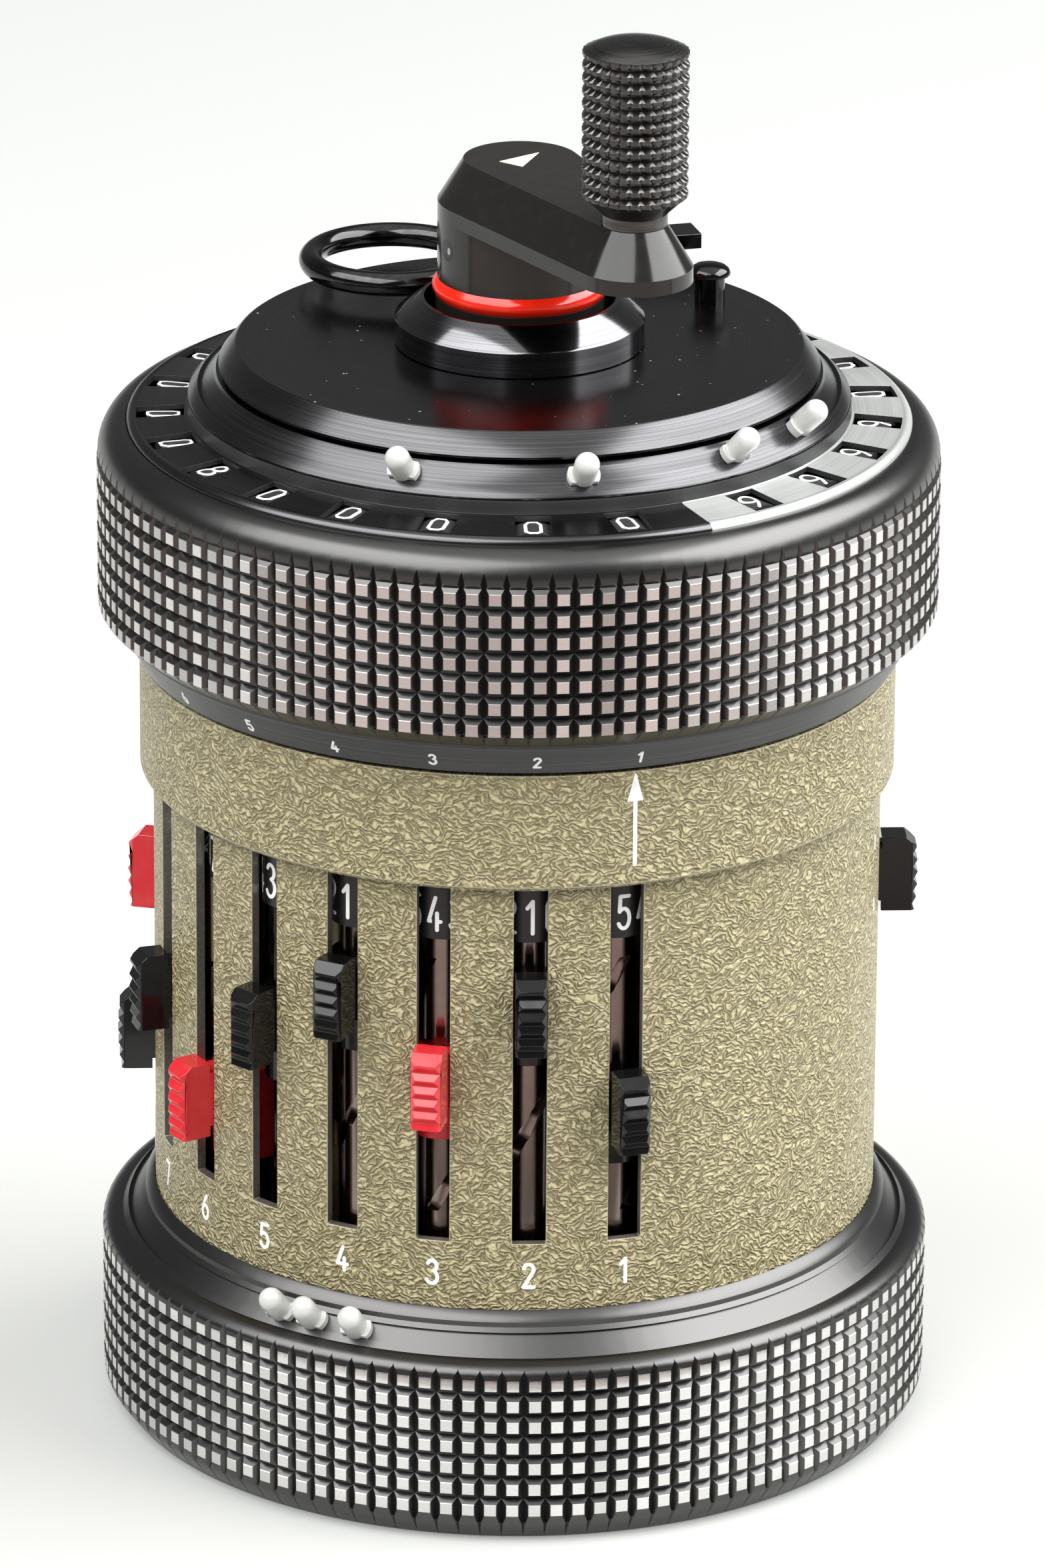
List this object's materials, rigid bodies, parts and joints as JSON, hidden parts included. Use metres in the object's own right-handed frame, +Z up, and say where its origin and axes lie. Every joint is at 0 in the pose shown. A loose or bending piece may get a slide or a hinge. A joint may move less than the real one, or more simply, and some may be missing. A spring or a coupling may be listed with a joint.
{
  "type": "mechanical pocket calculator",
  "caption": "Hand-cranked cylindrical pocket calculator with setting sliders, knurled rings, a lifting and turning register carriage, a clearing lever and a crank.",
  "frame": {"origin": "centre of the foot, at the bottom", "axes": "+Z up along the crank shaft; -Y towards the front, between the setting sliders; +X to the right"},
  "size_m": [0.065, 0.065, 0.1153],
  "materials": {
    "crinkle_paint": "crinkle paint",
    "black_metal": "satin black with bare bright knurl lands",
    "grey_metal": "satin grey",
    "silver_metal": "fine satin",
    "steel": "turned",
    "gunmetal": "polished dark",
    "bronzed_steel": "bronzed",
    "brass": "turned",
    "black_plastic": "moulded",
    "red_plastic": "moulded",
    "white_pin": "pearly",
    "dial_black": "black with white numerals"
  },
  "bodies": {
    "root": {"housing": "crinkle_paint", "base_ring": "black_metal", "bottom_cover": "black_metal", "bottom_screws": "steel", "lower_bearing_plate": "brass", "upper_bearing_plate": "brass", "centre_column": "steel", "transmission_shafts": "steel", "carriage_spring": "steel"},
    "slider_01": {"setting_slider_01": "black_plastic"},
    "shaft_01": {"setting_shaft_01": "bronzed_steel"},
    "slider_02": {"setting_slider_02": "black_plastic"},
    "shaft_02": {"setting_shaft_02": "bronzed_steel"},
    "slider_03": {"setting_slider_03": "red_plastic"},
    "shaft_03": {"setting_shaft_03": "bronzed_steel"},
    "slider_04": {"setting_slider_04": "black_plastic"},
    "shaft_04": {"setting_shaft_04": "bronzed_steel"},
    "slider_05": {"setting_slider_05": "black_plastic"},
    "shaft_05": {"setting_shaft_05": "bronzed_steel"},
    "slider_06": {"setting_slider_06": "red_plastic"},
    "shaft_06": {"setting_shaft_06": "bronzed_steel"},
    "slider_07": {"setting_slider_07": "black_plastic"},
    "shaft_07": {"setting_shaft_07": "bronzed_steel"},
    "slider_08": {"setting_slider_08": "black_plastic"},
    "shaft_08": {"setting_shaft_08": "bronzed_steel"},
    "slider_09": {"setting_slider_09": "red_plastic"},
    "shaft_09": {"setting_shaft_09": "bronzed_steel"},
    "slider_10": {"setting_slider_10": "black_plastic"},
    "shaft_10": {"setting_shaft_10": "bronzed_steel"},
    "slider_11": {"setting_slider_11": "black_plastic"},
    "shaft_11": {"setting_shaft_11": "bronzed_steel"},
    "reverser": {"reversing_lever": "black_plastic"},
    "pawl": {"ratchet_pawl": "steel"},
    "base_pin_1": {"base_marker_1": "white_pin"},
    "base_pin_2": {"base_marker_2": "white_pin"},
    "base_pin_3": {"base_marker_3": "white_pin"},
    "drive": {"ratchet_wheel": "brass"},
    "crank": {"main_shaft": "steel", "stepped_drum": "steel", "red_band": "red_plastic", "crank_arm": "black_metal", "knob_stud": "steel"},
    "knob": {"crank_knob": "black_metal"},
    "lift": {"carriage_bush": "steel", "collar": "black_metal"},
    "carriage": {"carriage_body": "grey_metal", "carriage_grip": "black_metal", "marker_ring": "black_metal", "result_windows": "black_metal", "counter_windows": "silver_metal", "result_dials": "dial_black", "counter_dials": "dial_black", "dial_axles": "steel"},
    "clearing": {"clearing_plate": "black_metal", "clearing_plate_pins": "black_metal"},
    "lever": {"clearing_lever": "gunmetal"},
    "carriage_pin_1": {"carriage_marker_1": "white_pin"},
    "carriage_pin_2": {"carriage_marker_2": "white_pin"},
    "carriage_pin_3": {"carriage_marker_3": "white_pin"},
    "carriage_pin_4": {"carriage_marker_4": "white_pin"}
  },
  "joints": [
    {"name": "slider_01_slide", "type": "slide", "parent": "root", "child": "slider_01", "axis": [0, 0, 1], "range_m": [-0.0084, 0.0105]},
    {"name": "shaft_01_turn", "type": "hinge", "parent": "root", "child": "shaft_01", "pos_m": [0.00732, -0.02349, 0.03], "axis": [0, 0, 1], "range_deg": [-181, 145]},
    {"name": "slider_02_slide", "type": "slide", "parent": "root", "child": "slider_02", "axis": [0, 0, 1], "range_m": [-0.0168, 0.0021]},
    {"name": "shaft_02_turn", "type": "hinge", "parent": "root", "child": "shaft_02", "pos_m": [0.00099, -0.02458, 0.03], "axis": [0, 0, 1], "range_deg": [-37, 289]},
    {"name": "slider_03_slide", "type": "slide", "parent": "root", "child": "slider_03", "axis": [0, 0, 1], "range_m": [-0.0105, 0.0084]},
    {"name": "shaft_03_turn", "type": "hinge", "parent": "root", "child": "shaft_03", "pos_m": [-0.00541, -0.024, 0.03], "axis": [0, 0, 1], "range_deg": [-145, 181]},
    {"name": "slider_04_slide", "type": "slide", "parent": "root", "child": "slider_04", "axis": [0, 0, 1], "range_m": [-0.0168, 0.0021]},
    {"name": "shaft_04_turn", "type": "hinge", "parent": "root", "child": "shaft_04", "pos_m": [-0.01144, -0.02178, 0.03], "axis": [0, 0, 1], "range_deg": [-37, 289]},
    {"name": "slider_05_slide", "type": "slide", "parent": "root", "child": "slider_05", "axis": [0, 0, 1], "range_m": [-0.0126, 0.0063]},
    {"name": "shaft_05_turn", "type": "hinge", "parent": "root", "child": "shaft_05", "pos_m": [-0.01668, -0.01808, 0.03], "axis": [0, 0, 1], "range_deg": [-109, 217]},
    {"name": "slider_06_slide", "type": "slide", "parent": "root", "child": "slider_06", "axis": [0, 0, 1], "range_m": [-0.0042, 0.0147]},
    {"name": "shaft_06_turn", "type": "hinge", "parent": "root", "child": "shaft_06", "pos_m": [-0.02079, -0.01315, 0.03], "axis": [0, 0, 1], "range_deg": [-253, 73]},
    {"name": "slider_07_slide", "type": "slide", "parent": "root", "child": "slider_07", "axis": [0, 0, 1], "range_m": [-0.0105, 0.0084]},
    {"name": "shaft_07_turn", "type": "hinge", "parent": "root", "child": "shaft_07", "pos_m": [-0.02349, -0.00732, 0.03], "axis": [0, 0, 1], "range_deg": [-145, 181]},
    {"name": "slider_08_slide", "type": "slide", "parent": "root", "child": "slider_08", "axis": [0, 0, 1], "range_m": [-0.0042, 0.0147]},
    {"name": "shaft_08_turn", "type": "hinge", "parent": "root", "child": "shaft_08", "pos_m": [-0.02458, -0.00099, 0.03], "axis": [0, 0, 1], "range_deg": [-253, 73]},
    {"name": "slider_09_slide", "type": "slide", "parent": "root", "child": "slider_09", "axis": [0, 0, 1], "range_m": [-0.0147, 0.0042]},
    {"name": "shaft_09_turn", "type": "hinge", "parent": "root", "child": "shaft_09", "pos_m": [-0.024, 0.00541, 0.03], "axis": [0, 0, 1], "range_deg": [-73, 253]},
    {"name": "slider_10_slide", "type": "slide", "parent": "root", "child": "slider_10", "axis": [0, 0, 1], "range_m": [-0.0189, 0]},
    {"name": "shaft_10_turn", "type": "hinge", "parent": "root", "child": "shaft_10", "pos_m": [-0.02178, 0.01144, 0.03], "axis": [0, 0, 1], "range_deg": [-1, 325]},
    {"name": "slider_11_slide", "type": "slide", "parent": "root", "child": "slider_11", "axis": [0, 0, 1], "range_m": [-0.0189, 0]},
    {"name": "shaft_11_turn", "type": "hinge", "parent": "root", "child": "shaft_11", "pos_m": [-0.01808, 0.01668, 0.03], "axis": [0, 0, 1], "range_deg": [-1, 325]},
    {"name": "reverser_slide", "type": "slide", "parent": "root", "child": "reverser", "axis": [0, 0, 1], "range_m": [-0.005, 0]},
    {"name": "pawl_rock", "type": "hinge", "parent": "root", "child": "pawl", "pos_m": [-0.00417, 0.01146, 0.0155], "axis": [0, 0, 1], "range_deg": [-8, 0], "stiffness_Nm_per_rad": 0.002},
    {"name": "base_pin_1_slide", "type": "hinge", "parent": "root", "child": "base_pin_1", "pos_m": [0, 0, 0.0158], "axis": [0, 0, 1], "range_deg": [-90, 0.3]},
    {"name": "base_pin_2_slide", "type": "hinge", "parent": "root", "child": "base_pin_2", "pos_m": [0, 0, 0.0158], "axis": [0, 0, 1], "range_deg": [-0.3, 1.2]},
    {"name": "base_pin_3_slide", "type": "hinge", "parent": "root", "child": "base_pin_3", "pos_m": [0, 0, 0.0158], "axis": [0, 0, 1], "range_deg": [-1.2, 90]},
    {"name": "crank_turn", "type": "hinge", "parent": "root", "child": "drive", "pos_m": [0, 0, 0.015], "axis": [0, 0, 1], "continuous": true},
    {"name": "crank_lift", "type": "slide", "parent": "drive", "child": "crank", "axis": [0, 0, 1], "range_m": [-0.0031, 0]},
    {"name": "knob_spin", "type": "hinge", "parent": "crank", "child": "knob", "pos_m": [0.00851, -0.01642, 0.105], "axis": [0, 0, 1], "continuous": true},
    {"name": "carriage_lift", "type": "slide", "parent": "root", "child": "lift", "axis": [0, 0, 1], "range_m": [0, 0.003], "stiffness_N_per_m": 800, "springref_m": -0.004, "deforming": ["carriage_spring"]},
    {"name": "carriage_turn", "type": "hinge", "parent": "lift", "child": "carriage", "pos_m": [0, 0, 0.07], "axis": [0, 0, 1], "range_deg": [0, 105]},
    {"name": "clearing_turn", "type": "hinge", "parent": "carriage", "child": "clearing", "pos_m": [0, 0, 0.085], "axis": [0, 0, 1], "continuous": true},
    {"name": "lever_fold", "type": "hinge", "parent": "clearing", "child": "lever", "pos_m": [0.0065, 0.01887, 0.0876], "axis": [0, 0, 1], "range_deg": [-125, 0]},
    {"name": "carriage_pin_1_slide", "type": "hinge", "parent": "carriage", "child": "carriage_pin_1", "pos_m": [0, 0, 0.0835], "axis": [0, 0, 1], "range_deg": [-60, 13]},
    {"name": "carriage_pin_2_slide", "type": "hinge", "parent": "carriage", "child": "carriage_pin_2", "pos_m": [0, 0, 0.0835], "axis": [0, 0, 1], "range_deg": [-13, 12]},
    {"name": "carriage_pin_3_slide", "type": "hinge", "parent": "carriage", "child": "carriage_pin_3", "pos_m": [0, 0, 0.0835], "axis": [0, 0, 1], "range_deg": [-12, 6.5]},
    {"name": "carriage_pin_4_slide", "type": "hinge", "parent": "carriage", "child": "carriage_pin_4", "pos_m": [0, 0, 0.0835], "axis": [0, 0, 1], "range_deg": [-6.5, 60]}
  ],
  "couplings": [
    {"joint": "shaft_01_turn", "follows": "slider_01_slide", "rad_per_m": -299.2},
    {"joint": "shaft_02_turn", "follows": "slider_02_slide", "rad_per_m": -299.2},
    {"joint": "shaft_03_turn", "follows": "slider_03_slide", "rad_per_m": -299.2},
    {"joint": "shaft_04_turn", "follows": "slider_04_slide", "rad_per_m": -299.2},
    {"joint": "shaft_05_turn", "follows": "slider_05_slide", "rad_per_m": -299.2},
    {"joint": "shaft_06_turn", "follows": "slider_06_slide", "rad_per_m": -299.2},
    {"joint": "shaft_07_turn", "follows": "slider_07_slide", "rad_per_m": -299.2},
    {"joint": "shaft_08_turn", "follows": "slider_08_slide", "rad_per_m": -299.2},
    {"joint": "shaft_09_turn", "follows": "slider_09_slide", "rad_per_m": -299.2},
    {"joint": "shaft_10_turn", "follows": "slider_10_slide", "rad_per_m": -299.2},
    {"joint": "shaft_11_turn", "follows": "slider_11_slide", "rad_per_m": -299.2}
  ]
}
